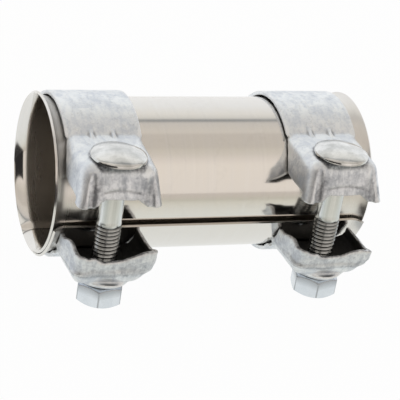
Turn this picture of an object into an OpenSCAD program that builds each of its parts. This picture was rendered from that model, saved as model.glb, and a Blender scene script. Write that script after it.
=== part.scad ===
// Double clamp connector for joining two exhaust pipes.
// X runs along the sleeve, the bolts stand upright at the front (-Y), and the origin is the middle of the bore.

/* [Sleeve] */
// Length of the sleeve over both flares
sleeve_len = 125; // [90:1:200]
// Bore of the sleeve, which takes the pipe ends
bore_d = 54.5; // [45:0.5:65]
// Thickness of the sleeve's sheet
sheet_t = 1; // [0.8:0.1:1.4]
// Length of each flared end along the sleeve
flare_len = 5.2; // [4:0.1:6]
// Rise of each flared end above the tube
flare_rise = 2.2; // [1.2:0.1:2.4]
// Angle of the outer edge below the level of the axis, at the front
lip_drop = 14; // [8:1:20]
// Stretch of the outer layer that springs away behind its edge, in degrees
lip_spring = 31; // [24:1:36]
// Distance that the outer edge springs away by
lip_lift = 1; // [0.6:0.1:1.3]
// Angle of the inner edge past the bottom, at the back
under_end = 10; // [6:1:20]
// Air between the two layers where they lie together
layer_gap = 0.15; // [0.1:0.05:0.2]
// Bend radius of the step that lifts the outer layer over the inner one
step_r = 5; // [4:0.5:8]

/* [Clamp bands] */
// Width of each band
band_w = 28.6; // [26:0.1:32]
// Thickness of the bands' steel
band_t = 1.6; // [1.3:0.1:2]
// Least gap between the bands and the sleeve's outer layer
band_slack = 0.15; // [0.1:0.05:0.4]
// Distance that each band sits forward of the sleeve's axis
band_forward = 0.3; // [0.25:0.05:0.5]
// Distance that each band hangs below the sleeve's axis
band_drop = 0.35; // [0.2:0.05:0.5]
// Bare end of the sleeve beside the left band
left_setback = 4.4; // [4:0.1:10]
// Bare end of the sleeve beside the right band
right_setback = 6; // [4:0.1:10]

/* [Ears] */
// Depth of the hood's roof below the top of the sleeve's outer layer
hood_sink = 5.1; // [4:0.1:6]
// Height of the hood's side edges above the axis
hood_side = 11.7; // [11:0.1:14]
// Height of the hood's two front feet above the axis
hood_foot = 9.7; // [8:0.1:10.8]
// Length of the feet along the hood's side walls
foot_len = 6; // [4:0.5:8]
// Height of the arch between the feet above the axis
hood_arch = 12.8; // [12:0.1:15]
// Half width of the arch at its top
arch_half = 6; // [5:0.1:8]
// Width of the slope from the arch's top to each foot
arch_slope = 4; // [2:0.1:4.4]
// Radius of the hood's edges round its roof
hood_r = 5.5; // [4:0.5:6]
// Distance that the hood's front leans back from its feet to its roof
hood_lean = 2.8; // [1:0.1:4]
// Radius of the hood's edges beside the band
roof_r = 3; // [2.5:0.5:4]
// Distance of the two flutes in the hood's front from its middle
flute_half = 11; // [8:0.1:11.5]
// Radius of the flutes
flute_r = 2; // [1:0.1:3]
// Depth of the flutes
flute_depth = 0.5; // [0.3:0.1:0.8]
// Height of the dish's floor above the bottom of the sleeve's outer layer
dish_rise = 6.8; // [6:0.1:9]
// Depth of the dish's corner tips below the axis
dish_tip = 8.4; // [8:0.1:10]
// Depth of the dish's edge between its tips below the axis
dish_edge = 12; // [11:0.1:13]
// Half width of the lowest stretch of that edge
edge_half = 4; // [2:0.5:6]
// Width of the corner tips across the dish's front
tip_w = 3.6; // [3:0.1:5]
// Radius of the dish's edges round its floor
dish_r = 4.5; // [3:0.5:5.5]
// Distance that the dish's front leans back from its edge to its floor
dish_lean = 1.6; // [1:0.1:4]
// Distance that the corners of the dish's floor stand in from the band's edges
dish_inset = 0.8; // [0:0.1:2]
// Distance from the bolts' axes to the ears' front faces
ear_reach = 11; // [10.5:0.1:14]
// Distance that the ears' side walls stand out beyond the band on each side
ear_spread = 1.3; // [0:0.1:1.6]
// Radius of the ears' upright front corners
front_r = 3; // [2.5:0.5:4]
// Clearance between the dish's side walls and the sleeve's sprung edge
lip_clear = 0.2; // [0.1:0.05:0.4]
// Height of the round boss that the nut bears on
boss_h = 2.2; // [1:0.1:3]
// Width of the boss's bearing face
boss_d = 15.6; // [14:0.1:18]
// Width of the sloping skirt round the boss
boss_skirt = 2.5; // [1:0.5:3]

/* [Bolts and nuts] */
// Distance of the bolts' axes in front of the sleeve's outer layer
bolt_space = 7.4; // [7:0.1:12]
// Outer diameter of the thread
thread_d = 9.8; // [8:0.1:10]
// Diameter of the plain shank
shank_d = 8.9; // [7:0.1:9.4]
// Diameter of the round head
head_d = 20.2; // [17:0.1:24]
// Thickness of the head at its edge
head_edge = 1.5; // [1:0.1:2.5]
// Rise of the head's dome above its edge
dome_h = 2.2; // [1:0.1:4]
// Bevel under the head's rim
head_bevel = 0.5; // [0.2:0.1:0.8]
// Side of the square neck under the head
neck_w = 10; // [9:0.1:10.4]
// Length of the square neck
neck_len = 8; // [7:0.1:10]
// Height above the axis at which the thread begins
thread_top = -0.3; // [-6:0.1:6]
// Bevel at the lower end of the thread
tip_bevel = 1; // [0.5:0.1:1.5]
// Distance that the bolts' ends stand above the nuts' lower faces
tip_inset = 0.3; // [0:0.1:1]
// Clearance round the neck and the bolt in the ears' holes, on each side
hole_clear = 0.3; // [0.2:0.05:0.6]
// Width of the nuts across their flats
nut_flats = 16; // [15:0.5:18]
// Height of the nuts
nut_h = 8; // [6:0.1:8.4]
// Step in from the nuts' flats to their round end faces
nut_step = 0.3; // [0.1:0.1:0.6]
// Clearance between the thread and the nut's bore, on the radius
nut_clear = 0.1; // [0.05:0.05:0.2]
// Turn of the left nut about its bolt
left_nut_turn = 11.6; // [0:0.1:59]
// Turn of the right nut about its bolt
right_nut_turn = 15.7; // [0:0.1:59]

/* [Hidden] */
$fn = 96;

// Angles run about the sleeve's axis from the back (+Y) over the top (+Z)
bore_r = bore_d / 2;
tube_r = bore_r + sheet_t;
mid_r = bore_r + sheet_t / 2;
layer_step = sheet_t + layer_gap;
wrap_r = tube_r + layer_step;
lip_angle = 180 + lip_drop;
spring_angle = lip_angle + lip_spring;
inner_end_angle = 270 + under_end;
spring_shift = lip_lift / (1 - cos(lip_spring));
flare_arc_r = (flare_len * flare_len + flare_rise * flare_rise) / (2 * flare_rise);
flare_angle = asin(flare_len / flare_arc_r);
// The outer layer's flares begin this much sooner, so that they nest round the inner ones
nest_trim = layer_step * tan(flare_angle / 2);
flare_steps = 7;

// The step is two tangent bends, found from the triangle of their centres and the axis
step_a = mid_r + step_r;
step_b = mid_r + layer_step - step_r;
step_c = 2 * step_r;
step_span = acos((step_a * step_a + step_b * step_b - step_c * step_c) / (2 * step_a * step_b));
step_out = acos((step_a * step_a + step_c * step_c - step_b * step_b) / (2 * step_a * step_c));
step_start_angle = inner_end_angle + step_span - 360;

half_w = band_w / 2;
ear_half = half_w + ear_spread;
nearest_end = min(left_setback, right_setback);
// The bands and ears clear the root of the flare that they lie nearest to
band_r = wrap_r + flare_at(flare_len - nearest_end) + band_slack - band_drop * cos(under_end)
    + band_forward * sin(under_end);
lip_clear_r = wrap_r + lip_lift + flare_at(flare_len - nearest_end + ear_spread) + lip_clear;
left_x = -sleeve_len / 2 + left_setback + half_w;
right_x = sleeve_len / 2 - right_setback - half_w;
hood_top = wrap_r - hood_sink;
dish_bottom = wrap_r - dish_rise;
bolt_forward = wrap_r + bolt_space;
ear_front = bolt_forward + ear_reach;
// The ears' forms start inside the band's bore and are cut back to it
ear_back = sqrt(band_r * band_r - hood_top * hood_top);
flute_lean = atan(hood_lean / (hood_top - hood_r - hood_foot));
nut_gap = 0.1;
head_gap = 0.05;
neck_hole = neck_w + 2 * hole_clear;
bolt_hole_d = thread_d + 4 * hole_clear;
nut_top = dish_bottom + boss_h + nut_gap;
bolt_end = nut_top + nut_h - tip_inset;
ee = 1;
// Thickness of the slices that the ears' forms are drawn over
slice = 0.1;
// Length by which neighbouring stretches of the sheet run into each other
lap = 0.6;

steel = [0.86, 0.85, 0.83];
galvanised = [0.72, 0.73, 0.75];
zinc = [0.8, 0.83, 0.86];

// Places a revolved shape, drawn about Z, round the sleeve's axis
module about_axis() {
    rotate([90, 0, 90]) children();
}

// Half of the sheet's section along the sleeve: straight, then curving up to the rim.
// Radii are given from the sheet's middle, so that it can be bent either way round an axis.
function flare_side(offset, trim) = [
    for (i = [0:flare_steps])
        let (a = flare_angle * i / flare_steps, r = flare_arc_r - sheet_t / 2 - offset)
            [flare_arc_r - sheet_t / 2 - r * cos(a), sleeve_len / 2 - flare_len - trim + r * sin(a)]
];

function mirrored(points) = [for (i = [len(points) - 1:-1:0]) [points[i][0], -points[i][1]]];

// Rise of the sheet's outer face at a distance past the flare's start
function flare_at(reach) =
    let (r = flare_arc_r - sheet_t, past = max(0, reach)) r - sqrt(r * r - past * past);

module sheet_section(middle, side, trim) {
    inner = flare_side(-sheet_t / 2, trim);
    outer = flare_side(sheet_t / 2, trim);
    half = concat(mirrored(inner), inner);
    back = concat(mirrored(outer), outer);
    points = concat(half, [for (i = [len(back) - 1:-1:0]) back[i]]);
    translate([middle, 0]) scale([side, 1]) polygon(points);
}

// A stretch of the sheet bent round an axis, from one angle over a sweep
module sheet_bend(middle, side, trim, from, sweep) {
    about_axis() rotate(from) rotate_extrude(angle = sweep, $fn = 180) sheet_section(middle, side, trim);
}

// A stretch of the sheet bent round a centre given by its distance and direction from the axis.
// It runs on a little at its start or its end, into the stretch that it joins.
module sheet_stretch(distance, direction, middle, side, trim, from, sweep, run_on) {
    more = run_on / middle * 180 / PI;
    translate([0, distance * cos(direction), distance * sin(direction)])
        sheet_bend(middle, side, trim, from + min(0, more), sweep + abs(more));
}

module sleeve() {
    color(steel) {
        // inner layer, nearly a full turn
        sheet_stretch(0, 0, mid_r, 1, 0, step_start_angle, inner_end_angle - step_start_angle, -lap);
        // two bends of the step that carries the sheet out over its own inner edge
        sheet_stretch(step_a, step_start_angle, step_r, -1, nest_trim / 2, step_start_angle + 180, step_out, lap);
        sheet_stretch(step_b, inner_end_angle, step_r, 1, nest_trim, inner_end_angle, step_span + step_out, 0);
        // outer layer, first close to the inner one and then springing away to its edge
        sheet_stretch(0, 0, mid_r + layer_step, 1, nest_trim, spring_angle, inner_end_angle - spring_angle, lap);
        sheet_stretch(-spring_shift, spring_angle, mid_r + layer_step + spring_shift, 1, nest_trim,
                      spring_angle - lip_sweep, lip_sweep, lap);
    }
}

// Sweep of the sprung stretch about its own centre
lip_sweep = lip_spring * wrap_r / (wrap_r + spring_shift);

module along_x(r, length) {
    rotate([90, 0, 90]) cylinder(r = r, h = length, center = true);
}

// Outside of the hood, or its inside when inset by the steel's thickness
module hood_form(inset) {
    foot = inset > 0 ? hood_foot - ee : hood_foot;
    hull() {
        for (side = [-1, 1]) {
            translate([side * (half_w - hood_r), hood_lean + hood_r - ear_front, hood_top - hood_r])
                sphere(r = hood_r - inset, $fn = 32);
            translate([side * (half_w - roof_r), -ear_back, hood_top - roof_r])
                rotate([90, 0, 0]) cylinder(r = roof_r - inset, h = slice, $fn = 32);
            translate([side * (ear_half - front_r), front_r - ear_front, foot])
                cylinder(r = front_r - inset, h = slice, $fn = 32);
            translate([side * (ear_half - front_r), -bolt_forward, foot])
                cylinder(r = front_r - inset, h = slice, $fn = 32);
        }
        translate([-half_w + inset, -ear_back - slice, foot]) cube([band_w - 2 * inset, slice, slice]);
    }
}

// Outside of the dish, or its inside when inset by the steel's thickness
module dish_form(inset) {
    brim = inset > 0 ? ee - dish_tip : -dish_tip;
    hull() {
        for (side = [-1, 1]) {
            translate([side * (half_w - dish_inset - dish_r), dish_lean + dish_r - ear_front, dish_r - dish_bottom])
                sphere(r = dish_r - inset, $fn = 32);
            translate([side * (half_w - dish_r), -ear_back, dish_r - dish_bottom])
                rotate([90, 0, 0]) cylinder(r = dish_r - inset, h = slice, $fn = 32);
            translate([side * (ear_half - front_r), front_r - ear_front, brim])
                cylinder(r = front_r - inset, h = slice, $fn = 32);
        }
        translate([-half_w + inset, -ear_back - slice, brim]) cube([band_w - 2 * inset, slice, slice]);
    }
}

module bore_cut(r) {
    translate([0, -band_forward, -band_drop]) along_x(r, band_w + 2 * ear_spread + 2 * ee);
}

// Round strip from the hood over the top, down the back and under to the dish
module strip() {
    difference() {
        translate([0, -band_forward, -band_drop]) along_x(band_r + band_t, band_w);
        bore_cut(band_r);
        translate([-half_w - ee, -2 * band_r, band_t / 2 - dish_bottom])
            cube([band_w + 2 * ee, 2 * band_r, hood_top + dish_bottom - band_t]);
    }
}

module hood() {
    difference() {
        hood_form(0);
        hood_form(band_t);
        bore_cut(band_r);
        // side edges stand a little higher than the feet
        translate([-ear_half - ee, foot_len - ear_front, hood_foot - ee])
            cube([2 * ear_half + 2 * ee, ear_front, hood_side - hood_foot + ee]);
        // arch between the feet
        translate([0, -bolt_forward, 0]) rotate([90, 0, 0]) linear_extrude(ear_reach + ee)
            polygon([[-arch_half - arch_slope, hood_foot - ee], [-arch_half - arch_slope, hood_foot],
                     [-arch_half, hood_arch], [arch_half, hood_arch],
                     [arch_half + arch_slope, hood_foot], [arch_half + arch_slope, hood_foot - ee]]);
        // flutes up the front
        for (side = [-1, 1])
            translate([side * flute_half, flute_depth - ear_front - flute_r, hood_foot])
                rotate([-flute_lean, 0, 0])
                    translate([0, 0, -ee]) cylinder(r = flute_r, h = hood_top - hood_foot, $fn = 32);
        translate([-neck_hole / 2, -bolt_forward - neck_hole / 2, hood_top - band_t - ee])
            cube([neck_hole, neck_hole, band_t + 2 * ee]);
    }
}

module dish() {
    brim = ee - dish_tip;
    difference() {
        union() {
            difference() {
                dish_form(0);
                dish_form(band_t);
            }
            translate([0, -bolt_forward, -dish_bottom - boss_h])
                cylinder(d1 = boss_d, d2 = boss_d + 2 * boss_skirt, h = boss_h);
            translate([0, -bolt_forward, -dish_bottom]) cylinder(d = boss_d + 2 * boss_skirt, h = band_t / 2);
        }
        bore_cut(band_r);
        // the side walls stand clear of the sleeve's sprung edge
        intersection() {
            along_x(lip_clear_r, 2 * ear_half + 2 * ee);
            translate([-ear_half - ee, -lip_clear_r, 2 * band_t - dish_bottom])
                cube([2 * ear_half + 2 * ee, lip_clear_r, dish_bottom]);
        }
        // the edge dips between the corner tips
        translate([0, -bolt_forward, 0]) rotate([90, 0, 0]) linear_extrude(ear_reach + ee)
            polygon([[tip_w - ear_half, brim], [tip_w - ear_half, -dish_tip], [-edge_half, -dish_edge],
                     [edge_half, -dish_edge], [ear_half - tip_w, -dish_tip], [ear_half - tip_w, brim]]);
        translate([0, -bolt_forward, -dish_bottom - boss_h - ee])
            cylinder(d = bolt_hole_d, h = boss_h + band_t + 2 * ee);
    }
}

module band(x) {
    color(galvanised) translate([x, 0, 0]) {
        strip();
        hood();
        dish();
    }
}

module bolt(x) {
    dome_r = (head_d * head_d / 4 + dome_h * dome_h) / (2 * dome_h);
    under = hood_top + head_gap;
    color(zinc) translate([x, -bolt_forward, 0]) {
        translate([0, 0, under + head_bevel]) cylinder(d = head_d, h = head_edge - head_bevel);
        translate([0, 0, under]) cylinder(d1 = head_d - 2 * head_bevel, d2 = head_d, h = head_bevel);
        intersection() {
            translate([0, 0, under + head_edge + dome_h - dome_r]) sphere(r = dome_r);
            translate([0, 0, under + head_edge]) cylinder(d = head_d, h = dome_h + ee);
        }
        translate([-neck_w / 2, -neck_w / 2, under - neck_len]) cube([neck_w, neck_w, neck_len]);
        translate([0, 0, thread_top]) cylinder(d = shank_d, h = under - thread_top);
        translate([0, 0, tip_bevel - bolt_end]) cylinder(d = thread_d, h = bolt_end - tip_bevel + thread_top);
        translate([0, 0, -bolt_end]) cylinder(d1 = thread_d - 2 * tip_bevel, d2 = thread_d, h = tip_bevel);
    }
}

module nut(x, turn) {
    corner_r = nut_flats / cos(30) / 2;
    face_r = nut_flats / 2 - nut_step;
    // the corners are bevelled at 30 degrees at both ends
    bevel = tan(30) * (corner_r + ee - face_r);
    color(zinc) translate([x, -bolt_forward, -nut_top - nut_h]) difference() {
        intersection() {
            rotate(turn) cylinder(d = nut_flats / cos(30), h = nut_h, $fn = 6);
            rotate_extrude() polygon([[0, 0], [face_r, 0], [corner_r + ee, bevel], [corner_r + ee, nut_h - bevel],
                                      [face_r, nut_h], [0, nut_h]]);
        }
        translate([0, 0, -ee]) cylinder(r = thread_d / 2 + nut_clear, h = nut_h + 2 * ee);
    }
}

module left_band() { band(left_x); }
module right_band() { band(right_x); }
module left_bolt() { bolt(left_x); }
module right_bolt() { bolt(right_x); }
module left_nut() { nut(left_x, left_nut_turn); }
module right_nut() { nut(right_x, right_nut_turn); }

sleeve();
left_band();
right_band();
left_bolt();
right_bolt();
left_nut();
right_nut();
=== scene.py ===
import math

import bmesh
import bpy
import numpy as np
from mathutils import Matrix, Vector


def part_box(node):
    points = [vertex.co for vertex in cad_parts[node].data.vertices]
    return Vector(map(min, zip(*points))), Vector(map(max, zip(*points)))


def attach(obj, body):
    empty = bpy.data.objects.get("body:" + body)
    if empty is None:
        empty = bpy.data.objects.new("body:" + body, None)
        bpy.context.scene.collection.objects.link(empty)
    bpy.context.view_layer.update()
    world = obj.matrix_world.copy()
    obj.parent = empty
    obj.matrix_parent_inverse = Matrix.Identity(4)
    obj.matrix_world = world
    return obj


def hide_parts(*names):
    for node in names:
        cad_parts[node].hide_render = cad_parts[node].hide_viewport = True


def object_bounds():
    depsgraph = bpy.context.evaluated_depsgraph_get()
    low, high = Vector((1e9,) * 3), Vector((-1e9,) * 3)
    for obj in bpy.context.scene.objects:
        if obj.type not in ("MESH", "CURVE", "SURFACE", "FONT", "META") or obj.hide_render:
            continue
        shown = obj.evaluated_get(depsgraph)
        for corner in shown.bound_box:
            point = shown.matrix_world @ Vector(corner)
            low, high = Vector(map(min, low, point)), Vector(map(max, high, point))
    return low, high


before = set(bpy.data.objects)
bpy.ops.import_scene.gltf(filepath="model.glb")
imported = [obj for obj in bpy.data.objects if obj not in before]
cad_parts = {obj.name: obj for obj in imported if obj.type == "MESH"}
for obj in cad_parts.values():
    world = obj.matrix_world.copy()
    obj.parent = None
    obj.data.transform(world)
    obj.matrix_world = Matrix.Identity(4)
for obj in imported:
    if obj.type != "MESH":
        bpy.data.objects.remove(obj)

cad_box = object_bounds()

# Sleeve
# The sleeve is one sheet of 1 mm stainless steel, rolled past a full turn. It steps out over its own
# inner edge at the bottom and ends in a lip that springs a little away, and both its ends are
# flared. Its face keeps the fine marks of the brushing belt, which ran round the tube.
MM = 0.001
sleeve_low, sleeve_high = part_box("sleeve")
sleeve_length = sleeve_high.x - sleeve_low.x
bore_radius, sheet = 27.25 * MM, 1 * MM
flare_length, flare_rise = 5.2 * MM, 2.2 * MM
step_radius, layer_gap = 5 * MM, 0.15 * MM
inner_edge, spring_at, spring_sweep = 280.0, 225.0, 31.0  # degrees round the axis, from the back upwards
spring_lift = 1 * MM
free_lift = 0.5 * MM  # the lip bulges out this much more between the clamps
bulge_until, bulge_end = 45 * MM, 57 * MM  # where the bulge fades, from the tube's middle
bore_mouth, neck_start = 59.5 * MM, 56 * MM  # where the bore's tone ends, and the flare's duller foot begins
flare_radius = (flare_length ** 2 + flare_rise ** 2) / (2 * flare_rise)
flare_angle = math.asin(flare_length / flare_radius)
layer_step = sheet + layer_gap
nest_trim = layer_step * math.tan(flare_angle / 2)


def rolled_path():
    """Points round the tube on the sheet's middle, with the outward normal, the length that the flare
    loses there, and the share of the lip's bulge."""
    middle = bore_radius + sheet / 2
    # the axis and the centres of the step's two bends make a triangle with these sides
    a, b, c = middle + step_radius, middle + layer_step - step_radius, 2 * step_radius
    span = math.acos((a * a + b * b - c * c) / (2 * a * b))
    out = math.acos((a * a + c * c - b * b) / (2 * a * c))
    start = math.radians(inner_edge) + span - 2 * math.pi
    spring, edge = math.radians(spring_at), math.radians(inner_edge)
    shift = spring_lift / (1 - math.cos(math.radians(spring_sweep)))
    wide = middle + layer_step + shift
    sweep = math.radians(spring_sweep) * (middle + layer_step) / wide
    arcs = [  # centre's distance and direction, radius, side, from, to, trim from, trim to, steps
        (0, 0, middle, 1, edge, start, 0, 0, 300),
        (a, start, step_radius, -1, start + math.pi, start + math.pi + out, 0, nest_trim / 2, 6),
        (b, edge, step_radius, 1, edge + span + out, edge, nest_trim / 2, nest_trim, 6),
        (0, 0, middle + layer_step, 1, edge, spring, nest_trim, nest_trim, 50),
        (-shift, spring, wide, 1, spring, spring - sweep, nest_trim, nest_trim, 30)]
    spots, normals, trims, springs = [], [], [], []
    for away, towards, radius, side, begin, end, trim_a, trim_b, steps in arcs:
        for i in range(0 if not spots else 1, steps + 1):
            t = begin + (end - begin) * i / steps
            normal = np.array([0, math.cos(t), math.sin(t)])
            centre = away * np.array([0, math.cos(towards), math.sin(towards)])
            spots.append(centre + radius * normal)
            normals.append(side * normal)
            trims.append(trim_a + (trim_b - trim_a) * i / steps)
            springs.append((1 - math.cos(math.pi / 2 * i / steps)) if begin == spring else 0.0)
    return np.array(spots), np.array(normals), np.array(trims), np.array(springs)


def plain_mesh(name, points, faces, edges=()):
    mesh = bpy.data.meshes.new(name)
    mesh.from_pydata([tuple(p) for p in points], list(edges), list(faces))
    mesh.update()
    return mesh


def add_object(name, mesh):
    piece = bpy.data.objects.new(name, mesh)
    bpy.context.scene.collection.objects.link(piece)
    return piece


def new_tree(name, inputs):
    tree = bpy.data.node_groups.new(name, "GeometryNodeTree")
    tree.interface.new_socket("Geometry", in_out="INPUT", socket_type="NodeSocketGeometry")
    for label, kind, value in inputs:
        socket = tree.interface.new_socket(label, in_out="INPUT", socket_type=kind)
        if value is not None:
            socket.default_value = value
    tree.interface.new_socket("Geometry", in_out="OUTPUT", socket_type="NodeSocketGeometry")
    return tree, tree.nodes.new("NodeGroupInput"), tree.nodes.new("NodeGroupOutput")


def put(tree, kind, *wires, **settings):
    """Adds a node, sets its options, and fills its inputs in order with sockets or numbers."""
    node = tree.nodes.new(kind)
    for key, value in settings.items():
        setattr(node, key, value)
    sockets = [s for s in node.inputs if s.enabled]
    for socket, wire in zip(sockets, wires):
        if isinstance(wire, bpy.types.NodeSocket):
            tree.links.new(wire, socket)
        elif wire is not None:
            socket.default_value = wire
    return next(o for o in node.outputs if o.enabled)


def maths(tree, operation, *wires):
    return put(tree, "ShaderNodeMath", *wires, operation=operation)


def sheet_tree():
    """Sweeps the rolled path along the tube, and bends both ends up into flares."""
    tree, given, result = new_tree("Rolled sheet", [
        ("Length", "NodeSocketFloat", sleeve_length), ("Flare length", "NodeSocketFloat", flare_length),
        ("Flare radius", "NodeSocketFloat", flare_radius - sheet / 2),
        ("Flare angle", "NodeSocketFloat", flare_angle), ("Free lift", "NodeSocketFloat", free_lift),
        ("Points round", "NodeSocketInt", 2),
        ("Points along", "NodeSocketInt", 33), ("Material", "NodeSocketMaterial", None)])
    wire = {s.name: s for s in given.outputs}
    grid = put(tree, "GeometryNodeMeshGrid", 1.0, 1.0, wire["Points round"], wire["Points along"])
    index = put(tree, "GeometryNodeInputIndex")
    row = maths(tree, "FLOOR", maths(tree, "DIVIDE", index, wire["Points along"]))
    column = maths(tree, "MODULO", index, wire["Points along"])
    half = maths(tree, "MULTIPLY", maths(tree, "SUBTRACT", wire["Points along"], 1.0), 0.5)
    place = maths(tree, "SUBTRACT", column, half)
    straight = 4.0  # steps from the middle to where the flare begins
    past = maths(tree, "MAXIMUM", maths(tree, "SUBTRACT", maths(tree, "ABSOLUTE", place), straight), 0.0)
    share = maths(tree, "DIVIDE", past, maths(tree, "SUBTRACT", half, straight))
    turn = maths(tree, "MULTIPLY", share, wire["Flare angle"])
    side = maths(tree, "SIGN", place)
    line = maths(tree, "MINIMUM", maths(tree, "DIVIDE", maths(tree, "ABSOLUTE", place), straight), 1.0)

    def along_path(attribute, kind):
        read = put(tree, "GeometryNodeInputNamedAttribute", attribute, data_type=kind)
        return put(tree, "GeometryNodeSampleIndex", wire["Geometry"], read, row, data_type=kind)

    trim = along_path("trim", "FLOAT")
    spot = along_path("spot", "FLOAT_VECTOR")
    outward = along_path("outward", "FLOAT_VECTOR")
    reach = maths(tree, "SUBTRACT", maths(tree, "SUBTRACT", maths(tree, "MULTIPLY", wire["Length"], 0.5),
                                          wire["Flare length"]), trim)
    along = maths(tree, "MULTIPLY_ADD", reach, line,
                  maths(tree, "MULTIPLY", maths(tree, "SINE", turn), wire["Flare radius"]))
    along = maths(tree, "MULTIPLY", along, side)
    rise = maths(tree, "MULTIPLY", maths(tree, "SUBTRACT", 1.0, maths(tree, "COSINE", turn)),
                 wire["Flare radius"])
    from_middle = maths(tree, "ABSOLUTE", along)
    free = put(tree, "ShaderNodeMapRange", from_middle, bulge_until, bulge_end, wire["Free lift"], 0.0,
               interpolation_type="SMOOTHSTEP")
    rise = maths(tree, "MULTIPLY_ADD", along_path("spring", "FLOAT"), free, rise)
    lifted = put(tree, "ShaderNodeVectorMath", outward, rise, operation="SCALE")
    sideways = put(tree, "ShaderNodeCombineXYZ", along, 0.0, 0.0)
    moved = put(tree, "ShaderNodeVectorMath", spot, lifted, operation="ADD")
    moved = put(tree, "ShaderNodeVectorMath", moved, sideways, operation="ADD")
    placed = put(tree, "GeometryNodeSetPosition", grid, None, moved)
    smooth = put(tree, "GeometryNodeSetShadeSmooth", placed)
    real = put(tree, "GeometryNodeRealizeInstances", smooth)
    done = put(tree, "GeometryNodeSetMaterial", real, None, wire["Material"])
    tree.links.new(done, result.inputs[0])
    return tree


def apply_modifiers(piece):
    """Makes what the modifiers give the piece's own plain mesh."""
    bpy.context.view_layer.update()
    evaluated = piece.evaluated_get(bpy.context.evaluated_depsgraph_get())
    piece.data = bpy.data.meshes.new_from_object(evaluated)
    piece.modifiers.clear()


def run_tree(piece, tree, **values):
    """Adds the tree as a modifier, sets its named inputs, and applies it."""
    modifier = piece.modifiers.new("nodes", "NODES")
    modifier.node_group = tree
    for item in tree.interface.items_tree:
        if item.in_out == "INPUT" and item.name.replace(" ", "_") in values:
            modifier[item.identifier] = values[item.name.replace(" ", "_")]
    piece.update_tag()
    apply_modifiers(piece)


def only_material(piece, material):
    piece.data.materials.clear()
    piece.data.materials.append(material)
    piece.data.polygons.foreach_set("material_index", [0] * len(piece.data.polygons))
    piece.data.update()


def face_outwards(piece):
    shape = bmesh.new()
    shape.from_mesh(piece.data)
    bmesh.ops.remove_doubles(shape, verts=shape.verts, dist=0.00001)
    bmesh.ops.recalc_face_normals(shape, faces=shape.faces)
    shape.to_mesh(piece.data)
    shape.free()


def shade(piece, degrees):
    mesh = piece.data
    mesh.polygons.foreach_set("use_smooth", [True] * len(mesh.polygons))
    mesh.set_sharp_from_angle(angle=math.radians(degrees))


def new_material(name):
    material = bpy.data.materials.new(name)
    material.use_nodes = True
    nodes = material.node_tree.nodes
    return material, material.node_tree, nodes["Principled BSDF"]


def new_group(name, inputs, outputs):
    group = bpy.data.node_groups.new(name, "ShaderNodeTree")
    for label, kind, value in inputs:
        group.interface.new_socket(label, in_out="INPUT", socket_type=kind).default_value = value
    for label in outputs:
        group.interface.new_socket(label, in_out="OUTPUT", socket_type="NodeSocketFloat")
    return group, group.nodes.new("NodeGroupInput").outputs, group.nodes.new("NodeGroupOutput").inputs


def use_group(tree, group, **values):
    node = tree.nodes.new("ShaderNodeGroup")
    node.node_tree = group
    for label, value in values.items():
        node.inputs[label.replace("_", " ")].default_value = value
    return node.outputs


def noise(tree, vector, scale, detail=3.0, roughness=0.5):
    node = tree.nodes.new("ShaderNodeTexNoise")
    tree.links.new(vector, node.inputs["Vector"])
    for label, value in (("Scale", scale), ("Detail", detail), ("Roughness", roughness)):
        if isinstance(value, bpy.types.NodeSocket):
            tree.links.new(value, node.inputs[label])
        else:
            node.inputs[label].default_value = value
    return node.outputs["Fac"]


def span(tree, value, low, high, to_low=0.0, to_high=1.0):
    return put(tree, "ShaderNodeMapRange", value, low, high, to_low, to_high)


def blend_colours(tree, share, first, second, blend="MIX"):
    node = tree.nodes.new("ShaderNodeMix")
    node.data_type, node.blend_type = "RGBA", blend
    for socket, value in ((node.inputs[0], share), (node.inputs[6], first), (node.inputs[7], second)):
        if isinstance(value, bpy.types.NodeSocket):
            tree.links.new(value, socket)
        else:
            socket.default_value = value
    return node.outputs[2]


def object_place(tree):
    return tree.nodes.new("ShaderNodeTexCoord").outputs["Object"]


def painted(tree, name):
    """The values that paint() has put on the mesh under that name."""
    return put(tree, "ShaderNodeAttribute", attribute_name=name).node.outputs["Fac"]


def bumped(tree, surface, height, strength, distance):
    node = tree.nodes.new("ShaderNodeBump")
    node.inputs["Strength"].default_value = strength
    node.inputs["Distance"].default_value = distance
    tree.links.new(height, node.inputs["Height"])
    tree.links.new(node.outputs[0], surface.inputs["Normal"])


# marks of a brush, a lathe or a die, long one way and fine across
brush_marks, given, out = new_group("Brush marks", [("Scale", "NodeSocketVector", (2200, 40, 40))],
                                    ["Lines"])
stretched = put(brush_marks, "ShaderNodeVectorMath", object_place(brush_marks), given[0],
                operation="MULTIPLY")
brush_marks.links.new(noise(brush_marks, stretched, 1.0, 4.0, 0.6), out[0])

# soft patches, thin water marks and fine grain, as on metal that has been handled
handled, given, out = new_group("Handled metal", [("Patches", "NodeSocketFloat", 60.0),
                                                  ("Grain", "NodeSocketFloat", 1500.0)],
                                ["Patches", "Water marks", "Grain"])
place = object_place(handled)
broad = noise(handled, place, given["Patches"], 4.0, 0.55)
handled.links.new(span(handled, broad, 0.35, 0.65), out["Patches"])
ring = maths(handled, "ABSOLUTE", maths(handled, "SUBTRACT", broad, 0.5))
handled.links.new(span(handled, ring, 0.0, 0.012, 1.0, 0.0), out["Water marks"])
handled.links.new(noise(handled, place, given["Grain"], 3.0, 0.6), out["Grain"])

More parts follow.
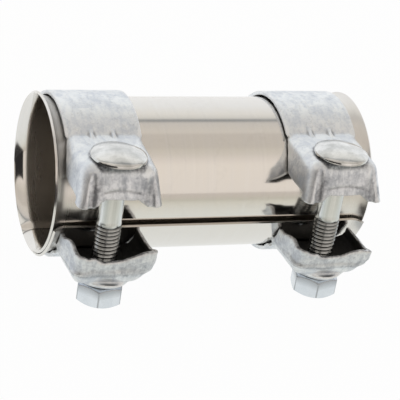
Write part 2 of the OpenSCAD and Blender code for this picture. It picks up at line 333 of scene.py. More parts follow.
brushed_grey, brushed_pale = (0.775, 0.76, 0.735, 1), (0.815, 0.80, 0.775, 1)
wide_streak, water_mark = (0.80, 0.78, 0.745, 1), (0.66, 0.64, 0.61, 1)
bore_shade_brown, seam_shadow_dark = (0.58, 0.54, 0.49, 1), (0.06, 0.05, 0.045, 1)
stainless, tree, surface = new_material("Brushed stainless")
surface.inputs["Metallic"].default_value = 1
lines = use_group(tree, brush_marks, Scale=(1900, 30, 30))["Lines"]
wide_lines = use_group(tree, brush_marks, Scale=(420, 12, 12))["Lines"]
marks = use_group(tree, handled, Patches=35.0, Grain=2600.0)
inside = painted(tree, "bore")
shine = blend_colours(tree, span(tree, lines, 0.3, 0.7), brushed_grey, brushed_pale)
shine = blend_colours(tree, span(tree, wide_lines, 0.35, 0.7), shine, wide_streak)
shine = blend_colours(tree, maths(tree, "MULTIPLY", marks["Water marks"], 0.12), shine, water_mark)
# painted shade: the bore's colour is darker and browner inside the tube, and its finish is rougher too
shine = blend_colours(tree, inside, shine, bore_shade_brown)
# a painted shadow in the gap along the sheet's inner edge, on the bore
shine = blend_colours(tree, painted(tree, "seam"), shine, seam_shadow_dark)
tree.links.new(shine, surface.inputs["Base Color"])
dull = maths(tree, "MULTIPLY_ADD", marks["Patches"], 0.03, 0.07)
dull = maths(tree, "MULTIPLY_ADD", lines, 0.05, dull)
dull = maths(tree, "MULTIPLY_ADD", painted(tree, "neck"), 0.2, dull)
dull = maths(tree, "MULTIPLY_ADD", inside, 0.22, dull)
tree.links.new(dull, surface.inputs["Roughness"])
relief = maths(tree, "ADD", lines, maths(tree, "MULTIPLY", marks["Grain"], 0.3))
bumped(tree, surface, relief, 0.05, 0.02 * MM)

spots, normals, trims, springs = rolled_path()
path = plain_mesh("rolled path", spots, [], [(i, i + 1) for i in range(len(spots) - 1)])
for name, kind, values in (("trim", "FLOAT", trims), ("spring", "FLOAT", springs),
                           ("spot", "FLOAT_VECTOR", spots), ("outward", "FLOAT_VECTOR", normals)):
    attribute = path.attributes.new(name, kind, "POINT")
    attribute.data.foreach_set("value" if kind == "FLOAT" else "vector", values.ravel())
sleeve = add_object("rolled_sleeve", path)
run_tree(sleeve, sheet_tree(), Points_round=len(spots), Material=stainless)
wall = sleeve.modifiers.new("sheet", "SOLIDIFY")
wall.thickness, wall.offset, wall.use_even_offset = sheet, 0, True
apply_modifiers(sleeve)
only_material(sleeve, stainless)
face_outwards(sleeve)


def read_points(mesh, of_normals=False):
    values = np.empty(3 * len(mesh.vertices))
    if of_normals:
        mesh.vertex_normals.foreach_get("vector", values)
    else:
        mesh.vertices.foreach_get("co", values)
    return values.reshape(-1, 3)


def paint(mesh, name, values):
    attribute = mesh.attributes.new(name, "FLOAT", "POINT")
    attribute.data.foreach_set("value", np.asarray(values, dtype=np.float32))


points, facing = read_points(sleeve.data), read_points(sleeve.data, True)
inward = -(points[:, 1] * facing[:, 1] + points[:, 2] * facing[:, 2]) / np.hypot(points[:, 1], points[:, 2])
from_middle = abs(points[:, 0])
from_edge = np.degrees(np.arctan2(points[:, 2], points[:, 1])) % 360 - inner_edge
# painted shade inside the tube, fading out towards each mouth
paint(sleeve.data, "bore", (inward > 0.3) * np.clip((bore_mouth - from_middle) / (3 * MM), 0, 1))
# a painted shadow in the gap along the sheet's inner edge
paint(sleeve.data, "seam", (inward > 0) * np.exp(-(from_edge / 1.1) ** 2))
paint(sleeve.data, "neck", (inward < -0.2) * np.clip((from_middle - neck_start) / (1.5 * MM), 0, 1))
shade(sleeve, 35)
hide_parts("sleeve")
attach(sleeve, "sleeve")

# Clamp bands
# Two band clamps, each pressed from one sheet of 1.6 mm steel and galvanised: a round strip with a
# hood above and a dish below, which the bolt draws together. The press and the pull of the bolt have
# left dents, folds and ribs in them, and the edge of each dish runs in its own way.
bolt_low, bolt_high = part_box("left_bolt")
bolt_forward = -(bolt_low.y + bolt_high.y) / 2
clamp_middle = {side: sum(corner.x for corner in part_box(side + "_band")) / 2 for side in ("left", "right")}
skin_voxel = 0.43 * MM  # step of the grid on which the skin is built anew, with its corners rounded
# height of each dish's edge in mm above what the CAD has: along the front from left to right, and
# along the left and the right wall from the front to the back
dish_edges = {
    "left": ([(-16, -1.2), (-13, -1.2), (-10, -1.0), (-8.2, -0.5), (-7.2, 0.6), (-5.8, 0.1), (-2.5, -0.3),
              (2, 0.1), (5, 0.6), (8, 0.3), (10.5, 0.2), (13, 0.1), (16, 0.3)],
             [(-47, -1.3), (-42.8, -1.1), (-40, 0.4), (-37, 0.4), (-30, -1.8)],
             [(-47, 0.1), (-43, -1.0), (-28, -1.1)]),
    "right": ([(-16, -1.6), (-13, -2.0), (-10, -1.8), (-7.4, -1.5), (-6.4, -0.4), (-5, -1.2), (-2.5, -1.3),
               (2, -1.1), (5, -1.0), (8, -1.2), (10.5, -1.7), (13, -2.4), (16, -2.9)],
              [(-47, -1.9), (-43, -2.2), (-40, -0.4), (-37, -0.7), (-30, -2.8)],
              [(-47, -3.0), (-42, -3.5), (-36, -3.1), (-30, -2.9)])}
rib_places = (-4.8, 3.4)  # of the ribs in the bend behind the hood, in mm from the clamp's middle
wall_radius, closed_radius = 31.1, 29.75  # in mm, of the walls' back edges as pressed and as drawn in
dish_top, face_foot = -7, 9  # heights in mm just above the dish's edge and just below the hood's front

grey, pale_grey = (0.27, 0.295, 0.335, 1), (0.69, 0.725, 0.78, 1)
# lighter copies of the zinc's tones, for the painted light
lit_grey, lit_white = (0.73, 0.785, 0.86, 1), (0.93, 0.97, 1.0, 1)
water_mark, worn_edge, crease_shade_dark = (0.36, 0.37, 0.39, 1), (0.92, 0.925, 0.93, 1), (0.30, 0.30, 0.31, 1)
press_shade_dark, unlit = (0.10, 0.10, 0.115, 1), (0.045, 0.043, 0.04, 1)
galvanised, tree, surface = new_material("Galvanised steel")
place = object_place(tree)
marks = use_group(tree, handled, Patches=130.0, Grain=1800.0)
streaks = use_group(tree, brush_marks, Scale=(500, 210, 160))["Lines"]
ripple = put(tree, "ShaderNodeTexNoise", place, 0.0, 420.0).node.outputs["Color"]
ripple = put(tree, "ShaderNodeVectorMath", ripple, 0.0016, operation="SCALE")
shifted = put(tree, "ShaderNodeVectorMath", place, ripple, operation="ADD")
flowers = tree.nodes.new("ShaderNodeTexVoronoi")
flowers.inputs["Scale"].default_value = 330
tree.links.new(shifted, flowers.inputs["Vector"])
flower = put(tree, "ShaderNodeSeparateColor", flowers.outputs["Color"])
fine = noise(tree, shifted, 900.0, 4.0, 0.65)
tone = maths(tree, "MULTIPLY", span(tree, streaks, 0.32, 0.68), 0.34)
tone = maths(tree, "MULTIPLY_ADD", flower, 0.22, tone)
tone = maths(tree, "MULTIPLY_ADD", marks["Patches"], 0.24, tone)
tone = maths(tree, "MULTIPLY_ADD", span(tree, fine, 0.3, 0.7), 0.25, tone)
tone = span(tree, tone, 0.28, 0.72)
# painted light: the zinc is lighter and less metallic on top, round the dishes, on the boss and behind
bloom = painted(tree, "bloom")
tree.links.new(span(tree, bloom, 0.3, 1.0, 1.0, 0.72), surface.inputs["Metallic"])
low = blend_colours(tree, bloom, grey, lit_grey)
high = blend_colours(tree, bloom, pale_grey, lit_white)
zinc_skin = blend_colours(tree, tone, low, high)
zinc_skin = blend_colours(tree, maths(tree, "MULTIPLY", marks["Water marks"], 0.22), zinc_skin, water_mark)
# worn sharp edges are lighter, and sharp hollows get painted shade
wear_and_crease_shade = painted(tree, "edge")
zinc_skin = blend_colours(tree, span(tree, wear_and_crease_shade, 0.1, 0.7, 0.0, 0.45), zinc_skin, worn_edge)
zinc_skin = blend_colours(tree, span(tree, wear_and_crease_shade, -0.15, -0.7, 0.0, 0.6), zinc_skin, crease_shade_dark)
# painted shade, speckled, in the press's hollows, on the dishes' rims and under the bolt's head
speckles = span(tree, maths(tree, "MULTIPLY_ADD", streaks, 0.5, fine), 0.55, 0.9, 1.0, 0.35)
press_shade = maths(tree, "MULTIPLY", painted(tree, "press_shade"), speckles)
zinc_skin = blend_colours(tree, press_shade, zinc_skin, press_shade_dark)
inside = painted(tree, "inside")
zinc_skin = blend_colours(tree, maths(tree, "MULTIPLY", inside, 0.93), zinc_skin, unlit)
tree.links.new(zinc_skin, surface.inputs["Base Color"])
rough = span(tree, tone, 0.0, 1.0, 0.50, 0.34)
tree.links.new(maths(tree, "MULTIPLY_ADD", inside, 0.15, rough), surface.inputs["Roughness"])
bumped(tree, surface, maths(tree, "MULTIPLY_ADD", marks["Grain"], 0.35, tone), 0.35, 0.12 * MM)


def eased(value, low, high):
    """Goes smoothly from 0 to 1 while the value goes from low to high."""
    share = np.clip((value - low) / (high - low), 0, 1)
    return share * share * (3 - 2 * share)


def soft_line(across, line, reach=0.8):
    """Height of a bent line with its corners rounded."""
    places, heights = zip(*line)
    steps = np.linspace(-reach, reach, 7)
    return sum(np.interp(across + step, places, heights) for step in steps) / len(steps)


def bell(value, middle, width):
    return np.exp(-((value - middle) / width) ** 2)


def bolt_distance(across, y):
    return np.hypot(across, y + bolt_forward / MM)


def press_marks(across, y, z, edges, seed):
    """How the press has moved the sheet, in mm, at points given in mm from the clamp's middle."""
    front, left_wall, right_wall = edges
    move = np.zeros((len(y), 3))
    dish = (z < dish_top) * (y < -15)
    upper = dish * eased(z, -20, -11)
    front_rise = soft_line(across, front)
    wall_rise = np.where(across < 0, soft_line(y, left_wall), soft_line(y, right_wall))
    move[:, 2] += upper * (front_rise + (wall_rise - front_rise) * eased(y, -46.5, -43))
    # the left wall turns in towards the front, and the right one bulges
    move[:, 0] += 2.0 * upper * (1 - eased(across, -14, -9)) * (1 - eased(y, -46, -31))
    move[:, 0] += 2.5 * dish * bell(z, -15, 4.6) * eased(across, 9, 14.5) * (1 - eased(y, -34, -26))
    # the walls' back edges close in on the sleeve
    from_axis = np.hypot(y, z)
    back_edge = (z < -6) * (z > -20.4) * (y < -15) * (from_axis < 34.5)
    close_in = (closed_radius - wall_radius) * back_edge * (1 - eased(from_axis, 31.3, 34.5))
    move[:, 1] += close_in * y / from_axis
    move[:, 2] += close_in * z / from_axis
    # the right front corner comes to a point
    corner = upper * eased(across, 11, 15.5) * (1 - eased(y, -47, -43))
    move[:, 0] += 1.0 * corner
    move[:, 1] -= 0.6 * corner
    # a fold runs round the dish below its edge, and the boss draws in to the nut
    fold = (z < dish_top) * (y < -24) * bell(z, -17.2, 1.3)
    move[:, 1] -= 0.5 * fold * (y < -40)
    move[:, 0] += 0.5 * fold * np.sign(across) * eased(abs(across), 9, 14)
    from_bolt = bolt_distance(across, y)
    draw_in = 0.6 * eased(-z, 23.9, 24.8) * (from_bolt > 6.5) / np.maximum(from_bolt, 1)
    move[:, 0] -= draw_in * across
    move[:, 1] -= draw_in * (y + bolt_forward / MM)
    # two small ribs stand in the bend between the strip and the hood's roof
    from_bend = np.hypot(y + 19.3, z - 24.4)
    for rib in rib_places:
        tent = 1.1 * bell(across, rib, 0.6) * np.clip(1 - from_bend / 3, 0, 1)
        move[:, 1] -= 0.45 * tent
        move[:, 2] += 0.9 * tent
    # a flute runs down the hood's front corner on the left and a softer one on the right, and a crease
    # crosses the face over the arch
    face = (y < -42) * (z > face_foot)
    flutes = bell(across, -9.7 + 0.25 * (z - 16), 1.7) + 0.7 * bell(across, 9.6, 1.8)
    flute = face * flutes * (1 - eased(z, 17, 21))
    crease = face * bell(z, 15.9 - 0.02 * across ** 2, 0.55) * (1 - eased(abs(across), 6, 8.5))
    move[:, 1] += 0.5 * flute + 0.25 * crease
    # broad unevenness of the ears
    ears = 1 - eased(y, -26, -20)
    move[:, 1] += 0.16 * ears * np.sin(across * 0.42 + seed) * np.sin(z * 0.37 + seed)
    move[:, 2] += 0.14 * ears * np.sin(across * 0.35 + 2 * seed) * np.sin(y * 0.45)
    return move


def press_shade_mask(across, y, z, facing):
    """Painted shade in the hollows that the press left, on the dishes' rims and under the bolt's head."""
    face = (y < -43) * (z > face_foot)
    flute = face * bell(across, -9.6 + 0.25 * (z - 16), 1.8) * (1 - eased(z, 16.5, 21.5))
    patch = face * bell(across, 9.8, 2.8) * bell(z, 14, 4)
    crease = face * bell(z, 15.9 - 0.02 * across ** 2, 0.5) * (1 - eased(abs(across), 6.5, 9))
    fold = (z < dish_top) * (y < -24) * (0.5 * bell(z, -17.6, 0.6) + 0.28 * eased(z, -18, -15.5))
    from_bolt = bolt_distance(across, y)
    rim = (z > -15) * (z < dish_top) * (y < -22) * eased(facing[:, 2], 0.5, 0.85)
    ribs = sum(bell(across, rib + 0.9, 0.6) for rib in rib_places)
    in_bend = np.clip(1 - np.hypot(y + 19, z - 24.8) / 3, 0, 1)
    head_shade = 0.95 * (1 - eased(from_bolt, 10.2, 11)) * eased(z, 21.5, 22.9)
    hollows = 0.75 * flute + 0.6 * patch + 0.45 * crease + fold + 0.6 * rim + 0.5 * ribs * in_bend
    return np.clip(hollows + head_shade, 0, 1)


def painted_light_mask(across, y, z, facing):
    """Painted light: how much lighter and less metallic the zinc is made, most on top, round the dishes, on
    the boss and behind, least on the fronts.
    """
    dish = (z < dish_top) * (y < -5) * (0.5 + 0.5 * (1 - eased(z, -20.5, -18)) + 0.4 * eased(z, -16, -11))
    boss = (z < -22.4) * (bolt_distance(across, y) < 11)
    back = 0.95 * eased(y, -16, 0) * eased(-z, -16, 0)
    open_faces = 0.05 + np.clip(facing[:, 2], 0, 1) + 0.5 * np.clip(-facing[:, 0], 0, 1)
    return np.clip(open_faces + dish + boss + back, 0, 1)


def inside_mask(across, y, z, facing):
    """The ears' inner faces, the strip's bore and the boss's face on the nut, which lie in the dark."""
    ear = (y < -20) * (abs(z) > 6) * ((abs(across) < 13) | (abs(z) < 19))
    # from each point towards the middle of its own ear's hollow
    to_middle = np.stack([-across, -33 - y, np.where(z > 0, 13, -14) - z], 1)
    to_middle /= np.maximum(np.linalg.norm(to_middle, axis=1), 0.1)[:, None]
    in_ear = ear * eased(np.einsum("ij,ij->i", facing, to_middle), 0.05, 0.4)
    to_axis = -(y * facing[:, 1] + z * facing[:, 2]) / np.hypot(y, z)
    in_bore = (np.hypot(y, z) < 30.6) * eased(to_axis, 0.6, 0.9) * (1 - eased(abs(across), 12, 13.4))
    on_nut = eased(-z, 23.9, 24.3) * (bolt_distance(across, y) < 7.9)
    return np.maximum(np.maximum(in_ear, in_bore), on_nut)


def edge_mask(mesh):
    """1 on sharp outer edges and -1 in sharp hollows, from how each point stands off its neighbours."""
    points, facing = read_points(mesh), read_points(mesh, True)
    ends = np.empty(2 * len(mesh.edges), dtype=np.int64)
    mesh.edges.foreach_get("vertices", ends)
    ends = ends.reshape(-1, 2)
    count = np.maximum(np.bincount(ends.ravel(), minlength=len(points)), 1)

    def neighbours(values):
        total = np.zeros_like(values)
        np.add.at(total, ends[:, 0], values[ends[:, 1]])
        np.add.at(total, ends[:, 1], values[ends[:, 0]])
        return total / (count[:, None] if values.ndim == 2 else count)

    stand = np.einsum("ij,ij->i", points - neighbours(points), facing) / (0.05 * MM)
    for _ in range(2):
        stand = (stand + neighbours(stand)) / 2
    return np.clip(stand, -1, 1)


for seed, side in enumerate(("left", "right")):
    band = add_object(side + "_pressed_band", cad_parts[side + "_band"].data.copy())
    face_outwards(band)
    # the pressing gets an even skin with rounded corners first, and then the marks of the press
    skin = band.modifiers.new("skin", "REMESH")
    skin.mode, skin.voxel_size = "VOXEL", skin_voxel
    soften = band.modifiers.new("soften", "SMOOTH")
    soften.factor, soften.iterations = 0.5, 5
    apply_modifiers(band)
    points, facing = read_points(band.data) / MM, read_points(band.data, True)
    places = (points[:, 0] - clamp_middle[side] / MM, points[:, 1], points[:, 2])
    # painted shade
    paint(band.data, "press_shade", press_shade_mask(*places, facing))
    paint(band.data, "inside", inside_mask(*places, facing))
    # painted light, most on upward faces
    paint(band.data, "bloom", painted_light_mask(*places, facing))
    points += press_marks(*places, dish_edges[side], seed)
    band.data.vertices.foreach_set("co", (points * MM).ravel())
    band.data.update()
    only_material(band, galvanised)
    shade(band, 60)
    # lighter on worn sharp edges, and painted shade in sharp hollows
    paint(band.data, "edge", edge_mask(band.data))
    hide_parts(side + "_band")
    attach(band, side + "_clamp")

# Bolts
# Zinc plated M10 carriage bolts: a low dome head with a thin edge, a square neck that the hood's square
# hole holds, a plain shank and a thread. Head and neck are forged, and the thread is rolled on the
# thinner shank.
head_radius, head_edge, dome_height = 10.1 * MM, 1.5 * MM, 2.2 * MM
bolt_end, head_top = -bolt_low.z, bolt_high.z
under_head = head_top - dome_height - head_edge
neck_width, neck_length = 10 * MM, 8 * MM
thread_radius, thread_depth, shank_radius = 4.9 * MM, 0.75 * MM, 4.45 * MM
pitch, thread_top = 1.5 * MM, -0.3 * MM
thread_start = 1.2 * MM  # the thread grows to its full depth over this length from the bolt's end
thread_end = (-1.5 * MM, 0.4 * MM)  # and runs out between these heights round its top

dull_zinc, pale_zinc = (0.56, 0.57, 0.56, 1), (0.84, 0.85, 0.845, 1)
drawn_grey, drawn_pale = (0.66, 0.69, 0.69, 1), (0.92, 0.95, 0.96, 1)
water_mark, thread_shade_dark = (0.5, 0.5, 0.48, 1), (0.07, 0.07, 0.068, 1)
zinc, tree, surface = new_material("Zinc plate")
surface.inputs["Metallic"].default_value = 1
lines = use_group(tree, brush_marks, Scale=(90, 90, 3200))["Lines"]
marks = use_group(tree, handled, Patches=170.0, Grain=3000.0)
plate = blend_colours(tree, marks["Patches"], dull_zinc, pale_zinc)
drawn = painted(tree, "drawn")
streak = span(tree, use_group(tree, brush_marks, Scale=(260, 260, 12))["Lines"], 0.35, 0.65)
plate = blend_colours(tree, drawn, plate, blend_colours(tree, streak, drawn_grey, drawn_pale))
plate = blend_colours(tree, maths(tree, "MULTIPLY", marks["Water marks"], 0.12), plate, water_mark)
# painted shade: the thread darker, most in its roots, and a dark line round the head's lower edge
plate = blend_colours(tree, maths(tree, "MULTIPLY", painted(tree, "root"), 0.9), plate, thread_shade_dark)
tree.links.new(plate, surface.inputs["Base Color"])
dull = maths(tree, "MULTIPLY_ADD", marks["Patches"], 0.05, 0.09)
dull = maths(tree, "MULTIPLY_ADD", lines, 0.06, dull)
tree.links.new(maths(tree, "MULTIPLY_ADD", drawn, 0.09, dull), surface.inputs["Roughness"])
bumped(tree, surface, maths(tree, "MULTIPLY_ADD", marks["Grain"], 0.4, lines), 0.05, 0.02 * MM)


def turned(name, profile, steps, at=(0, 0)):
    """Turns a profile of radius and height round an upright axis, into a closed mesh."""
    points, faces = [], []
    for radius, height in profile:
        for i in range(steps):
            t = 2 * math.pi * i / steps
            points.append((at[0] + radius * math.cos(t), at[1] + radius * math.sin(t), height))
    rows = len(profile)
    for r in range(rows - 1):
        for i in range(steps):
            j = (i + 1) % steps
            faces.append((r * steps + i, r * steps + j, (r + 1) * steps + j, (r + 1) * steps + i))
    faces.append(tuple(range(steps))[::-1])
    faces.append(tuple(range((rows - 1) * steps, rows * steps)))
    return plain_mesh(name, points, faces)


def thread_tree():
    """Wraps a grid round the bolt's axis, with its radius rising and falling along a helix."""
    tree, given, result = new_tree("Rolled thread", [
        ("Radius", "NodeSocketFloat", thread_radius), ("Depth", "NodeSocketFloat", thread_depth),
        ("Shank radius", "NodeSocketFloat", shank_radius), ("Pitch", "NodeSocketFloat", pitch),
        ("Bottom", "NodeSocketFloat", -bolt_end), ("Thread top", "NodeSocketFloat", thread_top),
        ("Top", "NodeSocketFloat", under_head - neck_length / 2), ("Middle", "NodeSocketVector", None),
        ("Points round", "NodeSocketInt", 48), ("Points along", "NodeSocketInt", 400),
        ("Material", "NodeSocketMaterial", None)])
    wire = {s.name: s for s in given.outputs}
    grid = put(tree, "GeometryNodeMeshGrid", 1.0, 1.0, maths(tree, "ADD", wire["Points round"], 1.0),
               wire["Points along"])
    index = put(tree, "GeometryNodeInputIndex")
    column = maths(tree, "FLOOR", maths(tree, "DIVIDE", index, wire["Points along"]))
    row = maths(tree, "MODULO", index, wire["Points along"])
    turn = maths(tree, "MULTIPLY", maths(tree, "DIVIDE", column, wire["Points round"]), 2 * math.pi)
    share = maths(tree, "DIVIDE", row, maths(tree, "SUBTRACT", wire["Points along"], 1.0))
    height = put(tree, "ShaderNodeMapRange", share, 0.0, 1.0, wire["Bottom"], wire["Top"])
    turns = maths(tree, "SUBTRACT", maths(tree, "DIVIDE", height, wire["Pitch"]),
                  maths(tree, "DIVIDE", column, wire["Points round"]))
    # a ridge with a narrow flat on its crest and in its root, from a sine cut off at both ends
    wave = maths(tree, "SINE", maths(tree, "MULTIPLY", turns, 2 * math.pi))
    ridge = put(tree, "ShaderNodeMapRange", wave, -0.75, 0.75, 0.0, 1.0)
    bottom_fade = put(tree, "ShaderNodeMapRange", maths(tree, "SUBTRACT", height, wire["Bottom"]),
                      0.0, thread_start, 0.0, 1.0)
    core = maths(tree, "SUBTRACT", wire["Radius"], wire["Depth"])
    threaded = maths(tree, "MULTIPLY_ADD", maths(tree, "MULTIPLY", ridge, bottom_fade), wire["Depth"], core)
    fade = put(tree, "ShaderNodeMapRange", maths(tree, "SUBTRACT", height, wire["Thread top"]),
               *thread_end, 0.0, 1.0)
    to_shank = maths(tree, "SUBTRACT", wire["Shank radius"], threaded)
    radius = maths(tree, "MULTIPLY_ADD", to_shank, fade, threaded)
    x = maths(tree, "MULTIPLY", maths(tree, "COSINE", turn), radius)
    y = maths(tree, "MULTIPLY", maths(tree, "SINE", turn), radius)
    spot = put(tree, "ShaderNodeVectorMath", put(tree, "ShaderNodeCombineXYZ", x, y, height), wire["Middle"],
               operation="ADD")
    placed = put(tree, "GeometryNodeSetPosition", grid, None, spot)
    joined = put(tree, "GeometryNodeMergeByDistance", placed, None, None, 0.00001)
    together = tree.nodes.new("GeometryNodeJoinGeometry")
    tree.links.new(joined, together.inputs[0])
    tree.links.new(wire["Geometry"], together.inputs[0])
    real = put(tree, "GeometryNodeRealizeInstances", together.outputs[0])
    done = put(tree, "GeometryNodeSetMaterial", real, None, wire["Material"])
    tree.links.new(done, result.inputs[0])
    return tree


threads = thread_tree()
dome_radius = (head_radius ** 2 + dome_height ** 2) / (2 * dome_height)
dome_steps = 15
head = [(0.2 * MM, under_head), (head_radius - 0.9 * MM, under_head),
        (head_radius - 0.3 * MM, under_head + 0.15 * MM), (head_radius, under_head + 0.5 * MM),
        (head_radius, under_head + head_edge - 0.25 * MM), (head_radius - 0.12 * MM, under_head + head_edge)]
for i in range(1, dome_steps):
    r = (head_radius - 0.35 * MM) * (1 - i / dome_steps)
    head.append((r, head_top - dome_radius + math.sqrt(dome_radius ** 2 - r * r)))
head.append((0.05 * MM, head_top))
for side in ("left", "right"):
    middle = (clamp_middle[side], -bolt_forward)
    bolt = add_object(side + "_carriage_bolt", turned("head", head, 96, middle))
    shape = bmesh.new()
    shape.from_mesh(bolt.data)
    neck = bmesh.ops.create_cube(shape, size=1, matrix=Matrix.Translation(
        (*middle, under_head - neck_length / 2)) @ Matrix.Diagonal((neck_width, neck_width, neck_length, 1)))
    neck_edges = [e for e in shape.edges if e.verts[0] in neck["verts"]]
    bmesh.ops.bevel(shape, geom=neck_edges, offset=0.8 * MM, segments=3, affect="EDGES")
    shape.to_mesh(bolt.data)
    shape.free()
    run_tree(bolt, threads, Middle=(*middle, 0.0), Material=zinc)
    only_material(bolt, zinc)
    face_outwards(bolt)
    points = read_points(bolt.data)
    from_axis = np.hypot(points[:, 0] - middle[0], points[:, 1] - middle[1])
    # painted shade on the thread, most in its roots, and under the head's edge
    depth = np.clip((thread_radius - 0.12 * MM - from_axis) / (thread_depth * 0.7), 0, 1)
    threaded = (points[:, 2] < thread_top - 1 * MM) * (points[:, 2] > -bolt_end + 0.2 * MM)
    rim = (from_axis > head_radius - 0.4 * MM) * (points[:, 2] < under_head + 0.45 * MM)
    paint(bolt.data, "root", np.maximum((0.4 + 0.6 * depth) * threaded, rim))
    paint(bolt.data, "drawn", points[:, 2] < under_head - 1 * MM)
    shade(bolt, 40)
    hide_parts(side + "_bolt")
    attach(bolt, side + "_bolt")

# Nuts
# Bright zinc M10 hexagon nuts, 16 mm across the flats, with the corners bevelled at both ends and
# the thread's mouth countersunk. Each is screwed up against the boss of its dish.
nut_low, nut_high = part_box("left_nut")
nut_top, nut_height = -nut_high.z, nut_high.z - nut_low.z
nut_flats, nut_bore, countersink = 16 * MM, 5 * MM, 0.9 * MM
corner_round, bevel = 0.14 * MM, math.tan(math.radians(30))
flat_face = nut_flats * 0.465  # radius of the flat ring on both ends, inside the bevels
nut_turn = {"left": 11.6, "right": 15.7}  # in degrees

blue_zinc, blue_pale = (0.76, 0.81, 0.89, 1), (0.84, 0.885, 0.96, 1)
water_mark, shaded_dark = (0.5, 0.53, 0.57, 1), (0.10, 0.10, 0.10, 1)
bright_zinc, tree, surface = new_material("Bright zinc")
surface.inputs["Metallic"].default_value = 1
marks = use_group(tree, handled, Patches=150.0, Grain=2600.0)
lines = use_group(tree, brush_marks, Scale=(700, 700, 90))["Lines"]
plate = blend_colours(tree, marks["Patches"], blue_zinc, blue_pale)
plate = blend_colours(tree, maths(tree, "MULTIPLY", marks["Water marks"], 0.15), plate, water_mark)
plate = blend_colours(tree, painted(tree, "shaded"), plate, shaded_dark)
tree.links.new(plate, surface.inputs["Base Color"])
tree.links.new(maths(tree, "MULTIPLY_ADD", lines, 0.06, 0.2), surface.inputs["Roughness"])
bumped(tree, surface, lines, 0.03, 0.02 * MM)


def hexagon(angle, flats, rounding):
    """Distance from the axis to a hexagon's side, with the corners taken back a little."""
    t = angle % (math.pi / 3) - math.pi / 6
    corner = flats / 2 / math.cos(math.pi / 6)
    return min(flats / 2 / math.cos(t), corner - rounding)


def nut_mesh(middle, turn):
    """The nut's section from bore to bore, worked out anew at each of 360 steps round the axis."""
    steps, bottom, mouth = 360, -nut_top - nut_height, nut_bore + countersink
    points, faces = [], []
    for i in range(steps):
        t = 2 * math.pi * i / steps
        out = hexagon(t, nut_flats, corner_round)
        drop = max(0.0, out - flat_face) * bevel
        column = [(nut_bore, nut_height - countersink), (mouth, nut_height), (flat_face, nut_height),
                  ((flat_face + out) / 2, nut_height - drop / 2),
                  (out - 0.12 * MM, nut_height - drop + 0.03 * MM), (out, nut_height - drop - 0.16 * MM),
                  (out, nut_height / 2), (out, drop + 0.12 * MM), (out - 0.1 * MM, drop - 0.02 * MM),
                  ((flat_face + out) / 2, drop / 2), (flat_face, 0), (mouth, 0), (nut_bore, countersink)]
        around = t + math.radians(turn)
        points += [(middle[0] + r * math.cos(around), middle[1] + r * math.sin(around), bottom + z)
                   for r, z in column]
    rows = len(column)
    for i in range(steps):
        j = (i + 1) % steps
        for r in range(rows):
            k = (r + 1) % rows
            faces.append((i * rows + r, i * rows + k, j * rows + k, j * rows + r))
    return plain_mesh("nut", points, faces)


for side in ("left", "right"):
    nut = add_object(side + "_hexagon_nut", nut_mesh((clamp_middle[side], -bolt_forward), nut_turn[side]))
    only_material(nut, bright_zinc)
    face_outwards(nut)
    points = read_points(nut.data)
    from_axis = np.hypot(points[:, 0] - clamp_middle[side], points[:, 1] + bolt_forward)
    corners = np.clip((from_axis - 9.05 * MM) / (0.04 * MM), 0, 1) * 0.5
    turned_by = np.arctan2(points[:, 1] + bolt_forward, points[:, 0] - clamp_middle[side])
    turned_by -= math.radians(nut_turn[side])
    out = np.array([hexagon(t, nut_flats, corner_round) for t in turned_by])
    drop = (out - flat_face) * bevel
    chamfer = (from_axis > out - 0.14 * MM) * (points[:, 2] > -nut_top - drop - 0.2 * MM)
    top = points[:, 2] > -nut_top - 0.06 * MM
    paint(nut.data, "shaded", np.maximum(np.maximum(corners, 0.5 * chamfer), 0.6 * top))
    shade(nut, 20)
    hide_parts(side + "_nut")
    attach(nut, side + "_nut")

# Studio
# A white table under a wide pale tent. The camera sees both as plain white, with a faint shadow on the
# table, and the metal mirrors the tones that are given here.
table_side, table_front, table_back = 3, -0.25, 3
mirrored_shade = (0.03, 0.028, 0.028, 1)


def toned(tree, place, stops):
    """The colour that the stops give as place goes from 0 to 1."""
    node = tree.nodes.new("ShaderNodeValToRGB")
    tree.links.new(place, node.inputs[0])
    elements = node.color_ramp.elements
    for element, (position, colour) in zip(elements, (stops[0], stops[-1])):
        element.position, element.color = position, (*colour, 1)
    for position, colour in stops[1:-1]:
        elements.new(position).color = (*colour, 1)
    return node.outputs[0]


lowest = cad_box[0][2]
floor = add_object("floor", plain_mesh("floor", [
    (-table_side, table_front, lowest), (table_side, table_front, lowest), (table_side, table_back, lowest),
    (-table_side, table_back, lowest)], [(0, 1, 2, 3)]))
table, tree, surface = new_material("White table")
links = tree.links
surface.inputs["Base Color"].default_value = (0.82, 0.82, 0.82, 1)
surface.inputs["Roughness"].default_value = 1
surface.inputs["Specular IOR Level"].default_value = 0
glow = tree.nodes.new("ShaderNodeEmission")
rays = tree.nodes.new("ShaderNodeLightPath")
seen = maths(tree, "MAXIMUM", rays.outputs["Is Camera Ray"],
             maths(tree, "MAXIMUM", rays.outputs["Is Glossy Ray"], rays.outputs["Is Transmission Ray"]))
amount = maths(tree, "MULTIPLY", seen, 0.97)
mix = tree.nodes.new("ShaderNodeMixShader")
links.new(amount, mix.inputs[0])
links.new(surface.outputs[0], mix.inputs[1])
links.new(glow.outputs[0], mix.inputs[2])
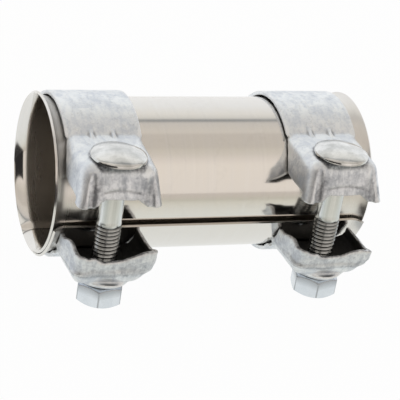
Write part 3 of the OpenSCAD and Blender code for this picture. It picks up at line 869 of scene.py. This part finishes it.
# the table's tones as the metal mirrors them, from its front edge to 0.2 m behind the middle
place = tree.nodes.new("ShaderNodeTexCoord")
parts = tree.nodes.new("ShaderNodeSeparateXYZ")
links.new(place.outputs["Object"], parts.inputs[0])
depth = put(tree, "ShaderNodeMapRange", parts.outputs["Y"], table_front, 0.2, 0.0, 1.0)
tone = toned(tree, depth, [
    (0.0, (0.52, 0.44, 0.38)), (0.04, (0.66, 0.60, 0.55)), (0.20, (0.665, 0.605, 0.54)),
    (0.282, (0.63, 0.60, 0.52)), (0.335, (0.75, 0.725, 0.64)), (0.40, (0.815, 0.805, 0.745)),
    (0.435, (0.835, 0.84, 0.79)), (0.55, (0.9, 0.91, 0.9)), (1.0, (1, 1, 1))])
# a dark patch on the left, which only the flare mirrors: a painted reflection of shade
dark_side = maths(tree, "MULTIPLY", span(tree, parts.outputs["X"], -0.13, -0.145),
                  span(tree, parts.outputs["Y"], 0, -0.015))
mirrored = tree.nodes.new("ShaderNodeMix")
mirrored.data_type = "RGBA"
links.new(rays.outputs["Is Glossy Ray"], mirrored.inputs[0])
mirrored.inputs[6].default_value = (1, 1, 1, 1)
links.new(blend_colours(tree, dark_side, tone, mirrored_shade), mirrored.inputs[7])
links.new(mirrored.outputs[2], glow.inputs[0])
links.new(mix.outputs[0], tree.nodes["Material Output"].inputs[0])
floor.data.materials.append(table)

world = bpy.data.worlds.new("Tent")
bpy.context.scene.world = world
world.use_nodes = True
tree = world.node_tree
links = tree.links
background = tree.nodes["Background"]
heading = tree.nodes.new("ShaderNodeTexCoord")
parts = tree.nodes.new("ShaderNodeSeparateXYZ")
links.new(heading.outputs["Generated"], parts.inputs[0])
to_front = maths(tree, "MULTIPLY", parts.outputs["Y"], -1.0)
from_front = maths(tree, "ARCTAN2", parts.outputs["Z"], to_front)
# the tent's tones by the angle in degrees, from the horizon behind over the top to the one in front
tent_tones = [
    (-20, (1, 1, 1)), (35, (0.95, 0.955, 0.96)), (56, (0.88, 0.86, 0.82)), (66, (0.76, 0.74, 0.70)),
    (69, (0.33, 0.34, 0.34)), (72, (0.36, 0.36, 0.36)), (75, (0.68, 0.64, 0.60)), (93, (0.73, 0.675, 0.61)),
    (97, (0.645, 0.59, 0.535)), (118, (0.645, 0.59, 0.53)), (122, (0.69, 0.635, 0.56)),
    (129, (0.73, 0.67, 0.60)), (139, (0.84, 0.765, 0.70)), (146, (0.896, 0.82, 0.745)),
    (190, (0.88, 0.81, 0.745)), (200, (0.66, 0.61, 0.56))]
tent_from, tent_to = tent_tones[0][0], tent_tones[-1][0]
turn = span(tree, from_front, math.radians(180 - tent_to), math.radians(180 - tent_from), 1.0, 0.0)
tone = toned(tree, turn, [((angle - tent_from) / (tent_to - tent_from), colour)
                          for angle, colour in tent_tones])
rays = tree.nodes.new("ShaderNodeLightPath")
shown = tree.nodes.new("ShaderNodeMix")
shown.data_type = "RGBA"
seen = maths(tree, "MAXIMUM", rays.outputs["Is Camera Ray"], rays.outputs["Is Transmission Ray"])
links.new(seen, shown.inputs[0])
# the painted dark patch's upper part, above the table's edge
top = maths(tree, "SUBTRACT", parts.outputs["Z"], maths(tree, "MULTIPLY", parts.outputs["X"], 0.5))
sides = maths(tree, "MULTIPLY", span(tree, parts.outputs["X"], -0.3, -0.34),
              span(tree, parts.outputs["X"], -0.96, -0.93))
dark_part = maths(tree, "MULTIPLY", span(tree, top, 0.8, 0.74), sides)
dark_part = maths(tree, "MULTIPLY", dark_part, span(tree, parts.outputs["Y"], -0.1, -0.2))
links.new(blend_colours(tree, dark_part, tone, mirrored_shade), shown.inputs[6])
shown.inputs[7].default_value = (1, 1, 1, 1)
links.new(shown.outputs[2], background.inputs[0])

# Camera
# A long lens from the front left and above, rolled a little about its own axis. Its focal length is in
# pixels of the frame.
azimuth, elevation, roll = math.radians(23.751), math.radians(26.716), math.radians(9.929)
distance, target = 0.606595, Vector((0.005715, 0, -0.013414))
focal_length, frame_width, film_width = 1554.521, 400, 36
back = Vector((-math.sin(azimuth) * math.cos(elevation), -math.cos(azimuth) * math.cos(elevation),
               math.sin(elevation)))
right = (-back).cross(Vector((0, 0, 1))).normalized()
up = right.cross(-back)
across = right * math.cos(roll) + up * math.sin(roll)
upward = up * math.cos(roll) - right * math.sin(roll)
camera_data = bpy.data.cameras.new("camera")
camera_data.sensor_width, camera_data.lens = film_width, focal_length / frame_width * film_width
camera = bpy.data.objects.new("camera", camera_data)
bpy.context.scene.collection.objects.link(camera)
spot = target + back * distance
camera.matrix_world = Matrix(((across.x, upward.x, back.x, spot.x), (across.y, upward.y, back.y, spot.y),
                              (across.z, upward.z, back.z, spot.z), (0, 0, 0, 1)))
bpy.context.scene.camera = camera
bpy.context.scene.view_settings.view_transform = "Standard"

bpy.context.view_layer.update()
